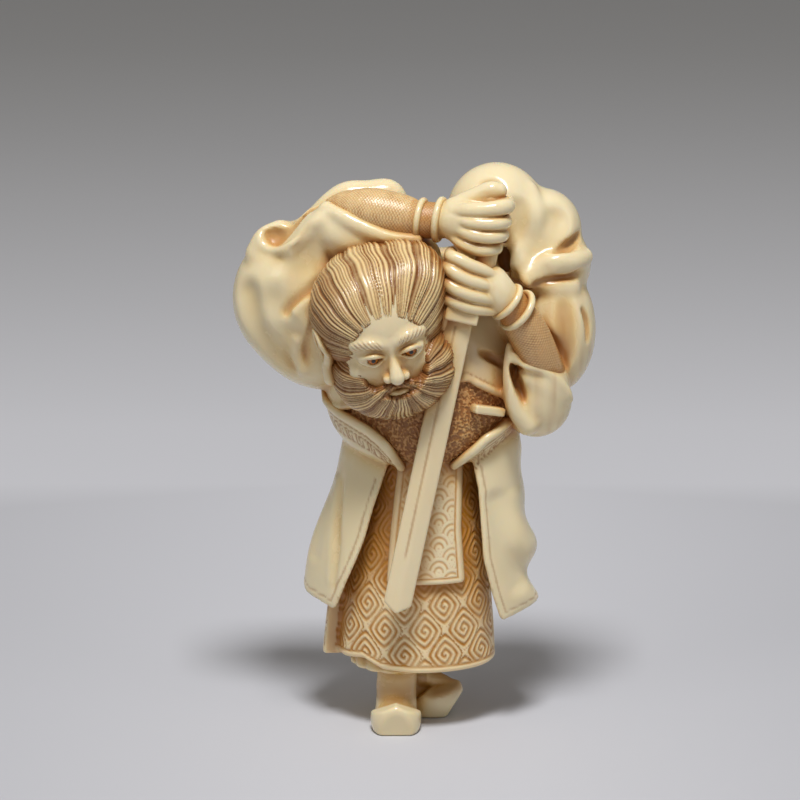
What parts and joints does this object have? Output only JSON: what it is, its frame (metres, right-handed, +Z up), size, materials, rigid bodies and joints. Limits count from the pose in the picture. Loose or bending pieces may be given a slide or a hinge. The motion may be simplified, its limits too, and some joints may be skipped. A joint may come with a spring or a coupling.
{
  "type": "netsuke",
  "caption": "Standing carved figure of a bearded swordsman in wide-sleeved robes, both hands raised on a downward blade, with a slanting cord channel through the back.",
  "frame": {"origin": "middle of the bounding box at the level of the soles", "axes": "+Z up along the standing figure; -Y to the front, the way the face and the blade look; +X to the left hand side of the figure"},
  "size_m": [0.0417, 0.0255, 0.0651],
  "materials": {
    "ivory": "polished ivory with brown stain in the recesses",
    "amber_horn": "polished amber-brown horn"
  },
  "bodies": {
    "root": {"figure": "ivory", "left_eye_inlay": "amber_horn", "right_eye_inlay": "amber_horn"}
  },
  "joints": []
}
